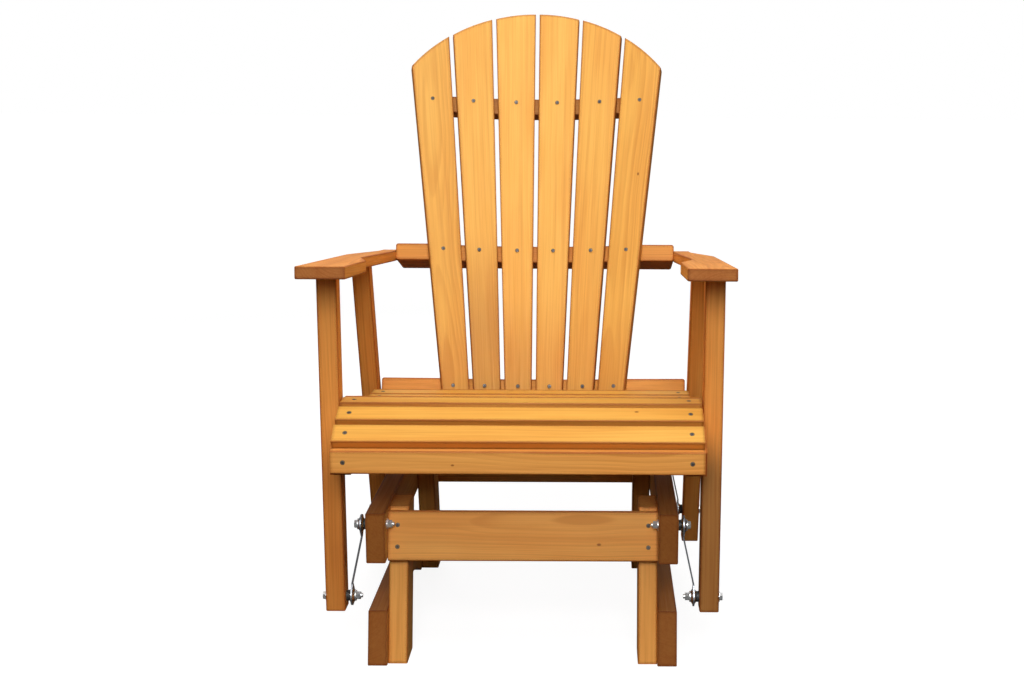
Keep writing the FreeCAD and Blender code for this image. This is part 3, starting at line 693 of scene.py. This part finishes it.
def joined_copies(pattern, places, name):
    """Copies of a pattern at each place, joined into one piece at the origin."""
    leave_all()
    for place in places:
        copy = pattern.copy()
        copy.data = pattern.data.copy()
        copy.matrix_world = place
        bpy.context.collection.objects.link(copy)
        copy.select_set(True)
        bpy.context.view_layer.objects.active = copy
    bpy.ops.object.transform_apply(location=True, rotation=True, scale=True)
    bpy.ops.object.join()
    piece = bpy.context.object
    piece.name = name
    bpy.ops.object.shade_smooth_by_angle(angle=math.radians(35))
    return piece


SET_BODY = {"seat_screws": "seat", "back_screws": "seat", "base_screws": "base"}
for group, spots in screw_sets.items():
    places = []
    for index, (point, normal) in enumerate(spots):
        stand = normal.to_track_quat("Z", "Y").to_matrix().to_4x4()
        places.append(Matrix.Translation(point) @ stand @ Matrix.Rotation(index * TURN_STEP, 4, "Z"))
    piece = joined_copies(screw, places, group)
    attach(piece, SET_BODY[group])
    print(group, len(spots), "screws,", len(piece.data.polygons), "faces")
bpy.data.objects.remove(screw)

# %% [markdown]
# ## Floor
# The photograph was taken on white, with hardly a shadow. A white floor would throw light up at the
# undersides, which are deep brown in the photograph. So the floor glows by itself, takes only a faint
# shadow, and the timber doesn't see it.

# %% Floor
FLOOR_HALF = 30.0
NEAR, FAR = 1.0, 6.0
NEAR_GLOW, FAR_GLOW = 0.90, 1.0
SHADOW_PAINT = (0.25, 0.25, 0.25, 1.0)
WHITE = (1.0, 1.0, 1.0, 1.0)
leave_all()
bpy.ops.mesh.primitive_plane_add(size=2 * FLOOR_HALF)
floor = bpy.context.object
floor.name = "pale_floor"
floor.visible_diffuse = False
floor.visible_glossy = False
floor_paint, tree = fresh_tree("pale_floor")
from_chair = reach(tree, "LENGTH", add(tree, "ShaderNodeTexCoord").outputs["Object"])
strength = ease_between(tree, from_chair, NEAR, FAR, NEAR_GLOW, FAR_GLOW)
glow = add(tree, "ShaderNodeEmission", Color=WHITE, Strength=strength)
shaded = add(tree, "ShaderNodeBsdfDiffuse", Color=SHADOW_PAINT)
pale = tree.nodes.new("ShaderNodeAddShader")
for socket, part in zip(pale.inputs, (glow.outputs["Emission"], shaded.outputs["BSDF"])):
    feed(tree, socket, part)
add(tree, "ShaderNodeOutputMaterial", Surface=pale.outputs["Shader"])
floor.data.materials.append(floor_paint)
print("floor", 2 * FLOOR_HALF, "m square")

# %% [markdown]
# ## Light
# A broad soft light above and in front leaves the top of the back and the seat bright, the foot of the
# back and the upright faces a step darker and the undersides dark. A large lamp close by gives that
# falling off, where a sun would light all alike, and one above and behind the camera opens the shade.
# Weak lamps at both sides and behind show the faces that the camera doesn't see, and leave no highlights.
# The world is white for the camera, and bright above for the gloss.

# %% Lights and world
LAMP_SIZE = 1.6
GLOSS_GLOW, SHADE_GLOW = 0.7, 0.08


def area_light(name, place, target, size, power, mirrored=True):
    """Round lamp that looks at a target; one that isn't mirrored leaves no highlight."""
    lamp = bpy.data.lights.new(name, "AREA")
    lamp.shape = "DISK"
    lamp.size = size
    lamp.energy = power
    holder = bpy.data.objects.new(name, lamp)
    holder.visible_camera = False
    holder.visible_glossy = mirrored
    holder.location = place
    holder.rotation_euler = (Vector(target) - Vector(place)).to_track_quat("-Z", "Y").to_euler()
    bpy.context.collection.objects.link(holder)


area_light("key", (0.1, -1.20, 2.75), (0, 0, 0.6), 1.5, 38.0)
area_light("front_fill", (0.1, -3.2, 2.0), (0, 0, 0.5), LAMP_SIZE, 66.0)
area_light("rear_fill", (-0.7, 2.6, 1.9), (0, 0, 0.6), LAMP_SIZE, 28.0, mirrored=False)
for side, name in ((-1, "left"), (1, "right")):
    area_light(f"{name}_fill", (side * 3.0, -0.6, 1.1), (0, 0, 0.5), LAMP_SIZE, 13.0, mirrored=False)
world = bpy.data.worlds.new("studio")
bpy.context.scene.world = world
world.use_nodes = True
tree = world.node_tree
tree.nodes.clear()
path = add(tree, "ShaderNodeLightPath").outputs
outwards = add(tree, "ShaderNodeTexCoord").outputs["Generated"]
direction = add(tree, "ShaderNodeSeparateXYZ", Vector=outwards)
ceiling = ease_between(tree, direction.outputs["Z"], -0.1, 0.5, 0.05, 1.0)
lit = figure(tree, "MULTIPLY_ADD", path["Is Glossy Ray"], GLOSS_GLOW, SHADE_GLOW)
strength = figure(tree, "MAXIMUM", path["Is Camera Ray"], figure(tree, "MULTIPLY", ceiling, lit))
sky = add(tree, "ShaderNodeBackground", Color=WHITE, Strength=strength)
add(tree, "ShaderNodeOutputWorld", Surface=sky.outputs["Background"])
bpy.context.scene.view_settings.view_transform = "Standard"
print("five area lights and a pale world")

# %% [markdown]
# ## Camera
# A camera could be set by eye until the picture fits. Here its place was found from corners of the chair
# whose places in the photograph are known: it stands 2.8 m in front, a little to the right and 1.1 m up,
# and looks slightly down. The photograph is a crop, so the lens is shifted sideways by as much as the
# crop is.

# %% Camera
IMAGE_WIDTH, IMAGE_HEIGHT = 1024, 683
FOCAL_PIXELS = 1414.0
CENTRE_X, CENTRE_Y = 611.0, 334.0
CAMERA_PLACE = Vector((0.136, -2.7708, 1.081))
PITCH, YAW, ROLL = (math.radians(angle) for angle in (10.57, -0.54, 0.40))
ahead = Vector((-math.sin(YAW), math.cos(YAW), 0))
across = Vector((math.cos(YAW), math.sin(YAW), 0))
view = math.cos(PITCH) * ahead - math.sin(PITCH) * Vector((0, 0, 1))
upward = math.sin(PITCH) * ahead + math.cos(PITCH) * Vector((0, 0, 1))
right = math.cos(ROLL) * across + math.sin(ROLL) * upward
top = math.cos(ROLL) * upward - math.sin(ROLL) * across
lens = bpy.data.cameras.new("photo_camera")
lens.sensor_width = 36.0
lens.lens = FOCAL_PIXELS / IMAGE_WIDTH * lens.sensor_width
lens.shift_x = (IMAGE_WIDTH / 2 - CENTRE_X) / IMAGE_WIDTH
lens.shift_y = (CENTRE_Y - IMAGE_HEIGHT / 2) / IMAGE_WIDTH
camera = bpy.data.objects.new("photo_camera", lens)
turned = Matrix((right, top, -view)).transposed().to_4x4()
camera.matrix_world = Matrix.Translation(CAMERA_PLACE) @ turned
bpy.context.collection.objects.link(camera)
bpy.context.scene.camera = camera
print("camera lens", round(lens.lens, 1), "mm, shift", round(lens.shift_x, 3), round(lens.shift_y, 3))
